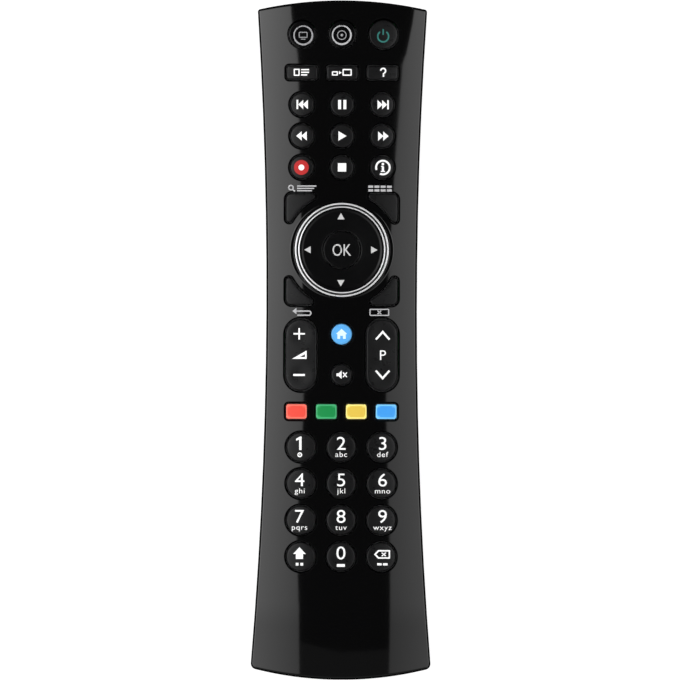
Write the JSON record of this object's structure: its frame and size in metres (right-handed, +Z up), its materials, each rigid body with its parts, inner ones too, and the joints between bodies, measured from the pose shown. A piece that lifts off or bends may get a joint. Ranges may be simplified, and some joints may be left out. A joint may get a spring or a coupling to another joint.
{
  "type": "tv remote control",
  "caption": "Slim handheld remote control with a crowned gloss face, press keys, tipping rocker keys, a tilting ring pad and a slide-off battery door.",
  "frame": {"origin": "centre of the handset's outline, on the surface that its flat back rests on", "axes": "+Z up through the keys, +Y towards the infrared end, +X to the right as the keys are read"},
  "size_m": [0.0582, 0.22, 0.0226],
  "materials": {
    "gloss_black": "polished black face with soft wear",
    "matt_black": "fine spark-eroded texture",
    "smoked_window": "dark infrared-clear plastic",
    "bright_trim": "plated ring",
    "dark_satin": "satin black",
    "natural_plastic": "unpainted moulding",
    "key_rubber": "satin black silicone",
    "red_rubber": "satin red silicone",
    "green_rubber": "satin green silicone",
    "yellow_rubber": "satin yellow silicone",
    "blue_rubber": "satin blue silicone",
    "mat_rubber": "grey silicone sheet",
    "board": "green resist",
    "chip": "moulded epoxy",
    "tin": "drawn metal can",
    "capacitor_sleeve": "shrink sleeve",
    "clear_led": "water-clear resin",
    "cell_can": "plain printed can",
    "spring_steel": "nickel-plated strip",
    "white_print": "pad-printed signs and numbers",
    "grey_print": "pad-printed signs on the face",
    "red_print": "red printed disc",
    "teal_print": "teal printed sign"
  },
  "bodies": {
    "casing": {"top_cover": "gloss_black", "rear_cover": "matt_black", "ir_window": "smoked_window", "nav_trim_ring": "bright_trim", "keypad_mat": "mat_rubber", "circuit_board": "board", "controller_chip": "chip", "resonator": "tin", "capacitor": "capacitor_sleeve", "chip_resistors": "chip", "infrared_led": "clear_led", "battery_left": "cell_can", "battery_right": "cell_can", "contact_plates": "spring_steel", "contact_springs": "spring_steel"},
    "mode_tv_key": {"mode_tv_key": "key_rubber"},
    "mode_recorder_key": {"mode_recorder_key": "key_rubber"},
    "power_key": {"power_key": "key_rubber"},
    "text_key": {"text_key": "key_rubber"},
    "zoom_key": {"zoom_key": "key_rubber"},
    "help_key": {"help_key": "key_rubber"},
    "skip_back_key": {"skip_back_key": "key_rubber"},
    "pause_key": {"pause_key": "key_rubber"},
    "skip_forward_key": {"skip_forward_key": "key_rubber"},
    "rewind_key": {"rewind_key": "key_rubber"},
    "play_key": {"play_key": "key_rubber"},
    "fast_forward_key": {"fast_forward_key": "key_rubber"},
    "record_key": {"record_key": "key_rubber"},
    "stop_key": {"stop_key": "key_rubber"},
    "info_key": {"info_key": "key_rubber"},
    "search_key": {"search_key": "key_rubber"},
    "guide_key": {"guide_key": "key_rubber"},
    "back_key": {"back_key": "key_rubber"},
    "close_key": {"close_key": "key_rubber"},
    "home_key": {"home_key": "blue_rubber"},
    "mute_key": {"mute_key": "key_rubber"},
    "red_key": {"red_key": "red_rubber"},
    "green_key": {"green_key": "green_rubber"},
    "yellow_key": {"yellow_key": "yellow_rubber"},
    "blue_key": {"blue_key": "blue_rubber"},
    "digit_0_key": {"digit_0_key": "key_rubber"},
    "digit_1_key": {"digit_1_key": "key_rubber"},
    "digit_2_key": {"digit_2_key": "key_rubber"},
    "digit_3_key": {"digit_3_key": "key_rubber"},
    "digit_4_key": {"digit_4_key": "key_rubber"},
    "digit_5_key": {"digit_5_key": "key_rubber"},
    "digit_6_key": {"digit_6_key": "key_rubber"},
    "digit_7_key": {"digit_7_key": "key_rubber"},
    "digit_8_key": {"digit_8_key": "key_rubber"},
    "digit_9_key": {"digit_9_key": "key_rubber"},
    "shift_key": {"shift_key": "key_rubber"},
    "delete_key": {"delete_key": "key_rubber"},
    "ok_key": {"ok_key": "dark_satin"},
    "volume_rocker": {"volume_rocker": "key_rubber"},
    "programme_rocker": {"programme_rocker": "key_rubber"},
    "nav_actuator": {"nav_actuator": "natural_plastic"},
    "nav_pad": {"nav_pad": "dark_satin", "nav_pad_rim": "bright_trim"},
    "battery_door": {"battery_door": "matt_black"}
  },
  "joints": [
    {"name": "mode_tv_key_press", "type": "slide", "parent": "casing", "child": "mode_tv_key", "axis": [0, 0, -1], "range_m": [0, 0.0009], "stiffness_N_per_m": 800, "springref_m": -0.0005, "deforming": ["keypad_mat"]},
    {"name": "mode_recorder_key_press", "type": "slide", "parent": "casing", "child": "mode_recorder_key", "axis": [0, 0, -1], "range_m": [0, 0.0009], "stiffness_N_per_m": 800, "springref_m": -0.0005, "deforming": ["keypad_mat"]},
    {"name": "power_key_press", "type": "slide", "parent": "casing", "child": "power_key", "axis": [0, 0, -1], "range_m": [0, 0.0009], "stiffness_N_per_m": 800, "springref_m": -0.0005, "deforming": ["keypad_mat"]},
    {"name": "text_key_press", "type": "slide", "parent": "casing", "child": "text_key", "axis": [0, 0, -1], "range_m": [0, 0.0009], "stiffness_N_per_m": 800, "springref_m": -0.0005, "deforming": ["keypad_mat"]},
    {"name": "zoom_key_press", "type": "slide", "parent": "casing", "child": "zoom_key", "axis": [0, 0, -1], "range_m": [0, 0.0009], "stiffness_N_per_m": 800, "springref_m": -0.0005, "deforming": ["keypad_mat"]},
    {"name": "help_key_press", "type": "slide", "parent": "casing", "child": "help_key", "axis": [0, 0, -1], "range_m": [0, 0.0009], "stiffness_N_per_m": 800, "springref_m": -0.0005, "deforming": ["keypad_mat"]},
    {"name": "skip_back_key_press", "type": "slide", "parent": "casing", "child": "skip_back_key", "axis": [0, 0, -1], "range_m": [0, 0.0009], "stiffness_N_per_m": 800, "springref_m": -0.0005, "deforming": ["keypad_mat"]},
    {"name": "pause_key_press", "type": "slide", "parent": "casing", "child": "pause_key", "axis": [0, 0, -1], "range_m": [0, 0.0009], "stiffness_N_per_m": 800, "springref_m": -0.0005, "deforming": ["keypad_mat"]},
    {"name": "skip_forward_key_press", "type": "slide", "parent": "casing", "child": "skip_forward_key", "axis": [0, 0, -1], "range_m": [0, 0.0009], "stiffness_N_per_m": 800, "springref_m": -0.0005, "deforming": ["keypad_mat"]},
    {"name": "rewind_key_press", "type": "slide", "parent": "casing", "child": "rewind_key", "axis": [0, 0, -1], "range_m": [0, 0.0009], "stiffness_N_per_m": 800, "springref_m": -0.0005, "deforming": ["keypad_mat"]},
    {"name": "play_key_press", "type": "slide", "parent": "casing", "child": "play_key", "axis": [0, 0, -1], "range_m": [0, 0.0009], "stiffness_N_per_m": 800, "springref_m": -0.0005, "deforming": ["keypad_mat"]},
    {"name": "fast_forward_key_press", "type": "slide", "parent": "casing", "child": "fast_forward_key", "axis": [0, 0, -1], "range_m": [0, 0.0009], "stiffness_N_per_m": 800, "springref_m": -0.0005, "deforming": ["keypad_mat"]},
    {"name": "record_key_press", "type": "slide", "parent": "casing", "child": "record_key", "axis": [0, 0, -1], "range_m": [0, 0.0009], "stiffness_N_per_m": 800, "springref_m": -0.0005, "deforming": ["keypad_mat"]},
    {"name": "stop_key_press", "type": "slide", "parent": "casing", "child": "stop_key", "axis": [0, 0, -1], "range_m": [0, 0.0009], "stiffness_N_per_m": 800, "springref_m": -0.0005, "deforming": ["keypad_mat"]},
    {"name": "info_key_press", "type": "slide", "parent": "casing", "child": "info_key", "axis": [0, 0, -1], "range_m": [0, 0.0009], "stiffness_N_per_m": 800, "springref_m": -0.0005, "deforming": ["keypad_mat"]},
    {"name": "search_key_press", "type": "slide", "parent": "casing", "child": "search_key", "axis": [0, 0, -1], "range_m": [0, 0.0009], "stiffness_N_per_m": 800, "springref_m": -0.0005, "deforming": ["keypad_mat"]},
    {"name": "guide_key_press", "type": "slide", "parent": "casing", "child": "guide_key", "axis": [0, 0, -1], "range_m": [0, 0.0009], "stiffness_N_per_m": 800, "springref_m": -0.0005, "deforming": ["keypad_mat"]},
    {"name": "back_key_press", "type": "slide", "parent": "casing", "child": "back_key", "axis": [0, 0, -1], "range_m": [0, 0.0009], "stiffness_N_per_m": 800, "springref_m": -0.0005, "deforming": ["keypad_mat"]},
    {"name": "close_key_press", "type": "slide", "parent": "casing", "child": "close_key", "axis": [0, 0, -1], "range_m": [0, 0.0009], "stiffness_N_per_m": 800, "springref_m": -0.0005, "deforming": ["keypad_mat"]},
    {"name": "home_key_press", "type": "slide", "parent": "casing", "child": "home_key", "axis": [0, 0, -1], "range_m": [0, 0.0009], "stiffness_N_per_m": 800, "springref_m": -0.0005, "deforming": ["keypad_mat"]},
    {"name": "mute_key_press", "type": "slide", "parent": "casing", "child": "mute_key", "axis": [0, 0, -1], "range_m": [0, 0.0009], "stiffness_N_per_m": 800, "springref_m": -0.0005, "deforming": ["keypad_mat"]},
    {"name": "red_key_press", "type": "slide", "parent": "casing", "child": "red_key", "axis": [0, 0, -1], "range_m": [0, 0.0009], "stiffness_N_per_m": 800, "springref_m": -0.0005, "deforming": ["keypad_mat"]},
    {"name": "green_key_press", "type": "slide", "parent": "casing", "child": "green_key", "axis": [0, 0, -1], "range_m": [0, 0.0009], "stiffness_N_per_m": 800, "springref_m": -0.0005, "deforming": ["keypad_mat"]},
    {"name": "yellow_key_press", "type": "slide", "parent": "casing", "child": "yellow_key", "axis": [0, 0, -1], "range_m": [0, 0.0009], "stiffness_N_per_m": 800, "springref_m": -0.0005, "deforming": ["keypad_mat"]},
    {"name": "blue_key_press", "type": "slide", "parent": "casing", "child": "blue_key", "axis": [0, 0, -1], "range_m": [0, 0.0009], "stiffness_N_per_m": 800, "springref_m": -0.0005, "deforming": ["keypad_mat"]},
    {"name": "digit_0_key_press", "type": "slide", "parent": "casing", "child": "digit_0_key", "axis": [0, 0, -1], "range_m": [0, 0.0009], "stiffness_N_per_m": 800, "springref_m": -0.0005, "deforming": ["keypad_mat"]},
    {"name": "digit_1_key_press", "type": "slide", "parent": "casing", "child": "digit_1_key", "axis": [0, 0, -1], "range_m": [0, 0.0009], "stiffness_N_per_m": 800, "springref_m": -0.0005, "deforming": ["keypad_mat"]},
    {"name": "digit_2_key_press", "type": "slide", "parent": "casing", "child": "digit_2_key", "axis": [0, 0, -1], "range_m": [0, 0.0009], "stiffness_N_per_m": 800, "springref_m": -0.0005, "deforming": ["keypad_mat"]},
    {"name": "digit_3_key_press", "type": "slide", "parent": "casing", "child": "digit_3_key", "axis": [0, 0, -1], "range_m": [0, 0.0009], "stiffness_N_per_m": 800, "springref_m": -0.0005, "deforming": ["keypad_mat"]},
    {"name": "digit_4_key_press", "type": "slide", "parent": "casing", "child": "digit_4_key", "axis": [0, 0, -1], "range_m": [0, 0.0009], "stiffness_N_per_m": 800, "springref_m": -0.0005, "deforming": ["keypad_mat"]},
    {"name": "digit_5_key_press", "type": "slide", "parent": "casing", "child": "digit_5_key", "axis": [0, 0, -1], "range_m": [0, 0.0009], "stiffness_N_per_m": 800, "springref_m": -0.0005, "deforming": ["keypad_mat"]},
    {"name": "digit_6_key_press", "type": "slide", "parent": "casing", "child": "digit_6_key", "axis": [0, 0, -1], "range_m": [0, 0.0009], "stiffness_N_per_m": 800, "springref_m": -0.0005, "deforming": ["keypad_mat"]},
    {"name": "digit_7_key_press", "type": "slide", "parent": "casing", "child": "digit_7_key", "axis": [0, 0, -1], "range_m": [0, 0.0009], "stiffness_N_per_m": 800, "springref_m": -0.0005, "deforming": ["keypad_mat"]},
    {"name": "digit_8_key_press", "type": "slide", "parent": "casing", "child": "digit_8_key", "axis": [0, 0, -1], "range_m": [0, 0.0009], "stiffness_N_per_m": 800, "springref_m": -0.0005, "deforming": ["keypad_mat"]},
    {"name": "digit_9_key_press", "type": "slide", "parent": "casing", "child": "digit_9_key", "axis": [0, 0, -1], "range_m": [0, 0.0009], "stiffness_N_per_m": 800, "springref_m": -0.0005, "deforming": ["keypad_mat"]},
    {"name": "shift_key_press", "type": "slide", "parent": "casing", "child": "shift_key", "axis": [0, 0, -1], "range_m": [0, 0.0009], "stiffness_N_per_m": 800, "springref_m": -0.0005, "deforming": ["keypad_mat"]},
    {"name": "delete_key_press", "type": "slide", "parent": "casing", "child": "delete_key", "axis": [0, 0, -1], "range_m": [0, 0.0009], "stiffness_N_per_m": 800, "springref_m": -0.0005, "deforming": ["keypad_mat"]},
    {"name": "ok_key_press", "type": "slide", "parent": "casing", "child": "ok_key", "axis": [0, 0, -1], "range_m": [0, 0.0009], "stiffness_N_per_m": 800, "springref_m": -0.0005, "deforming": ["keypad_mat"]},
    {"name": "volume_rocker_tip", "type": "hinge", "parent": "casing", "child": "volume_rocker", "pos_m": [-0.0131, -0.0048, 0.019], "axis": [1, 0, 0], "range_deg": [-3.5, 3.5], "stiffness_Nm_per_rad": 0.12, "deforming": ["keypad_mat"]},
    {"name": "programme_rocker_tip", "type": "hinge", "parent": "casing", "child": "programme_rocker", "pos_m": [0.0131, -0.0048, 0.019], "axis": [1, 0, 0], "range_deg": [-3.5, 3.5], "stiffness_Nm_per_rad": 0.12, "deforming": ["keypad_mat"]},
    {"name": "nav_tilt_up_down", "type": "hinge", "parent": "casing", "child": "nav_actuator", "pos_m": [0, 0.02915, 0.0195], "axis": [1, 0, 0], "range_deg": [-3, 3], "stiffness_Nm_per_rad": 0.2, "deforming": ["keypad_mat"]},
    {"name": "nav_tilt_left_right", "type": "hinge", "parent": "nav_actuator", "child": "nav_pad", "pos_m": [0, 0.02915, 0.0195], "axis": [0, 1, 0], "range_deg": [-3, 3], "stiffness_Nm_per_rad": 0.2, "deforming": ["keypad_mat"]},
    {"name": "battery_door_slide", "type": "slide", "parent": "casing", "child": "battery_door", "axis": [0, -1, 0], "range_m": [0, 0.08]}
  ]
}
